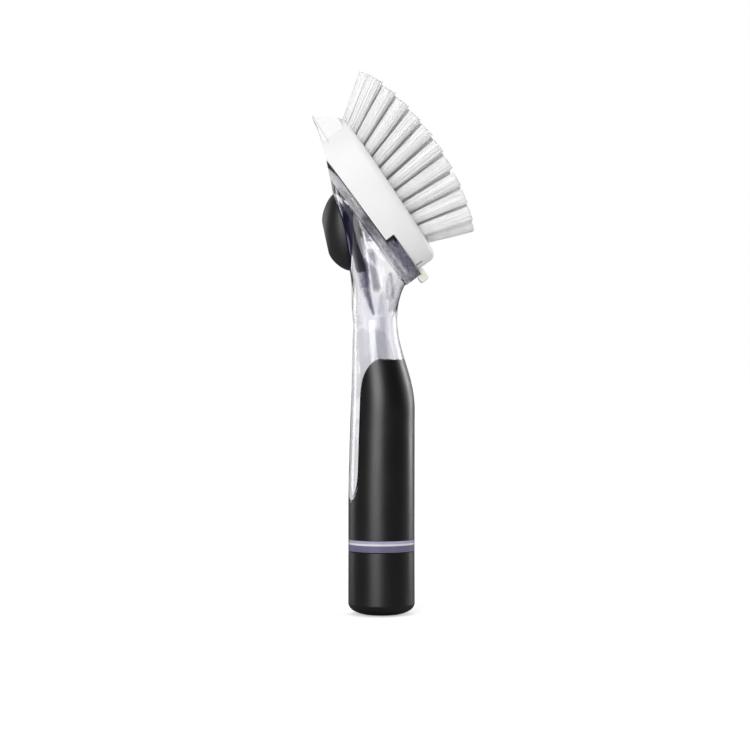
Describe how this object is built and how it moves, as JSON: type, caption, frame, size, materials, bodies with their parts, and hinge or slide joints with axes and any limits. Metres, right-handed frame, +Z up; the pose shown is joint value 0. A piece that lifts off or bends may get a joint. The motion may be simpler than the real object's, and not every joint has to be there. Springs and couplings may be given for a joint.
{
  "type": "dish wand",
  "caption": "Soap-dispensing dish brush: clear hollow handle with black grip, screw cap, thumb button with a spring valve, and a slanted removable bristle head with a scraper nose.",
  "frame": {"origin": "centre of the flat foot of the base cap", "axes": "+Z up the handle, +X the bristle side, -X the thumb button side, XZ the mirror plane"},
  "size_m": [0.0699, 0.0374, 0.2346],
  "materials": {
    "black_cap": "satin black",
    "black_grip": "soft satin black",
    "clear_plastic": "clear, faint lavender tint",
    "dark_plastic": "blue-black, plain",
    "grey_seal": "soft grey",
    "spring_steel": "drawn wire",
    "white_plastic": "satin white",
    "white_bristle": "nylon filaments",
    "anchor_wire": "flat wire",
    "ivory_plastic": "satin off-white"
  },
  "bodies": {
    "base": {"cap_cover": "black_cap", "cap_core": "black_cap"},
    "seal": {"cap_seal": "grey_seal"},
    "handle": {"handle_shell": "clear_plastic", "head_plate": "clear_plastic", "grip_sleeve": "black_grip", "button_collar": "dark_plastic", "stem_seal": "grey_seal", "valve_seat": "grey_seal", "return_spring": "spring_steel"},
    "button": {"button_cover": "black_grip", "button_core": "dark_plastic", "plunger_stem": "dark_plastic", "valve_stopper": "grey_seal"},
    "brush_head": {"brush_block": "white_plastic", "tuft_row_01": "white_bristle", "tuft_row_02": "white_bristle", "tuft_row_03": "white_bristle", "tuft_row_04": "white_bristle", "tuft_row_05": "white_bristle", "tuft_row_06": "white_bristle", "tuft_row_07": "white_bristle", "tuft_row_08": "white_bristle", "tuft_row_09": "white_bristle", "tuft_row_10": "white_bristle", "tuft_row_11": "white_bristle", "tuft_anchors": "anchor_wire", "outlet_gasket": "grey_seal"},
    "tab": {"release_tab": "ivory_plastic"}
  },
  "joints": [
    {"name": "cap_turn", "type": "hinge", "parent": "base", "child": "seal", "pos_m": [0, 0, 0], "axis": [0, 0, 1], "range_deg": [0, 720]},
    {"name": "handle_rise", "type": "slide", "parent": "seal", "child": "handle", "axis": [0, 0, 1], "range_m": [0, 0.008]},
    {"name": "button_press", "type": "slide", "parent": "handle", "child": "button", "axis": [0.9781, 0, 0.2079], "range_m": [0, 0.002], "stiffness_N_per_m": 1200, "springref_m": -0.003, "deforming": ["return_spring"]},
    {"name": "head_release", "type": "slide", "parent": "handle", "child": "brush_head", "axis": [0.8064, 0, 0.5913], "range_m": [0, 0.04]},
    {"name": "tab_flex", "type": "hinge", "parent": "brush_head", "child": "tab", "pos_m": [0.01345, 0, 0.15365], "axis": [0, -1, 0], "range_deg": [0, 6], "stiffness_Nm_per_rad": 0.3, "springref_deg": -1.15}
  ],
  "couplings": [
    {"joint": "cap_turn", "follows": "handle_rise", "rad_per_m": 1570.8}
  ]
}
